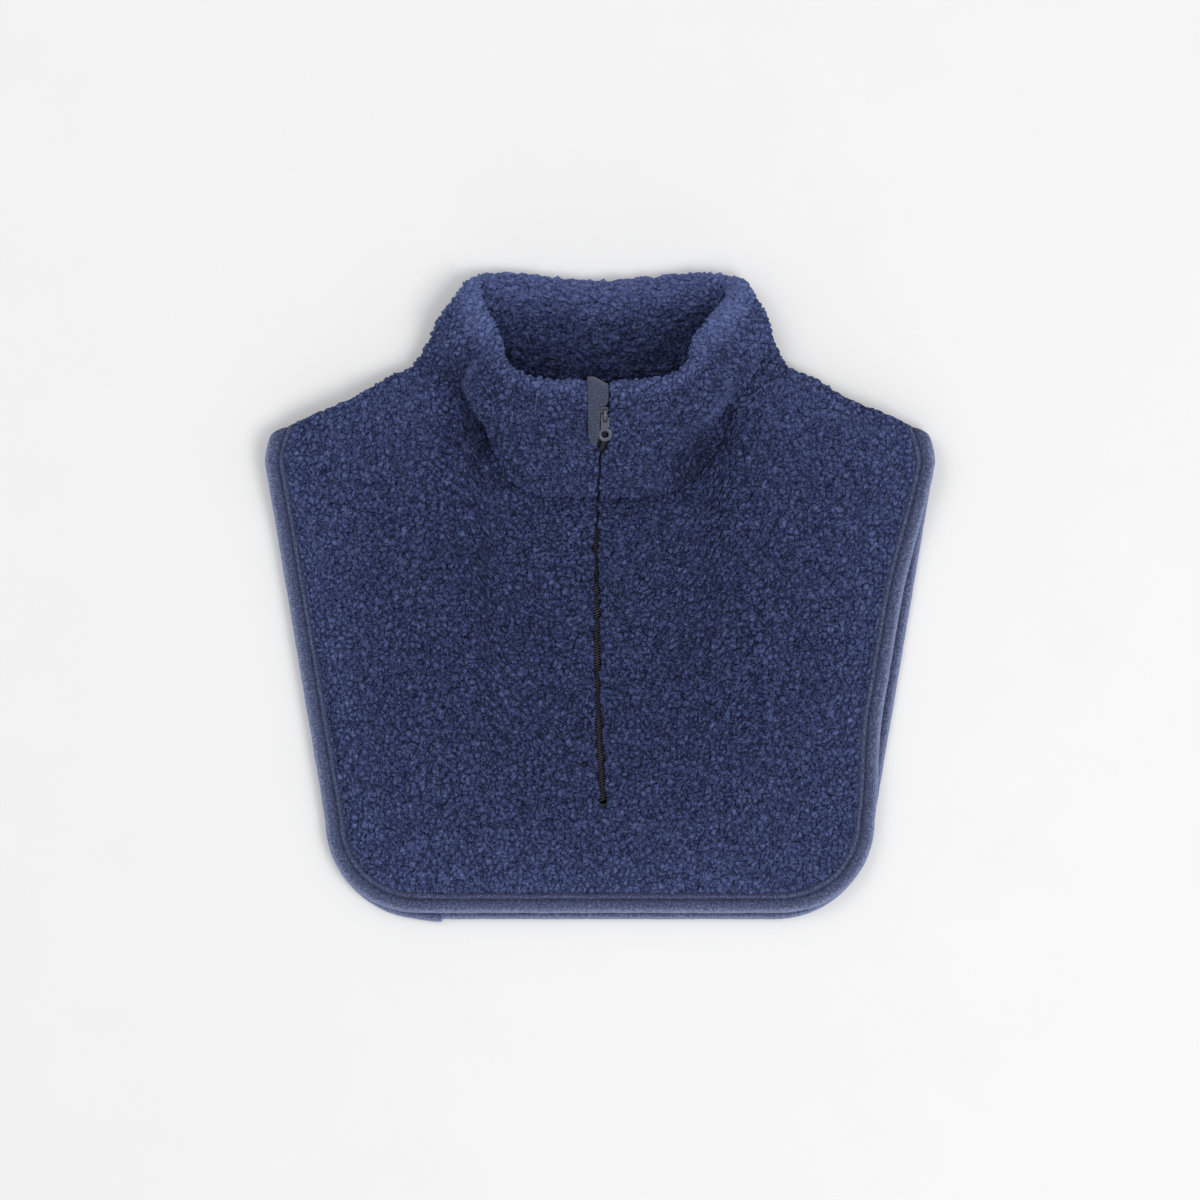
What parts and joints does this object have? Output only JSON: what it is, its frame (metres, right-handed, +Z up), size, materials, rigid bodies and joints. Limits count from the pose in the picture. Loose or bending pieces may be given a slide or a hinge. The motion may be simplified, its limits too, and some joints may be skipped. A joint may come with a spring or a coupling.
{
  "type": "zip-neck dickey of pile fleece, lying flat",
  "caption": "Sleeveless neck warmer of curly pile fleece: two bibs, a stand collar, a zip down the front and a bound edge, laid flat on its back.",
  "frame": {"origin": "on the surface that it lies on, under the middle of its outline seen from above", "axes": "+Z up from the surface, +Y from the hem to the collar, +X to the right of one who looks down on the front"},
  "size_m": [0.4008, 0.387, 0.0691],
  "materials": {
    "pile_fleece": "curly pile",
    "binding_fleece": "brushed",
    "zip_tape": "woven",
    "zip_coil": "smooth",
    "zip_metal": "polished"
  },
  "bodies": {
    "root": {"front_panel": "pile_fleece", "back_panel": "pile_fleece", "collar": "pile_fleece", "edge_binding": "binding_fleece", "zip_tape_left": "zip_tape", "zip_tape_right": "zip_tape", "zip_chain": "zip_coil", "zip_bottom_stop": "zip_metal", "zip_garage": "zip_tape", "zip_slider": "zip_metal"},
    "puller": {"zip_puller": "zip_metal"}
  },
  "joints": [
    {"name": "puller_hinge", "type": "hinge", "parent": "root", "child": "puller", "pos_m": [0.00303, 0.10794, 0.06209], "axis": [-1, 0, 0], "range_deg": [0, 150]}
  ]
}
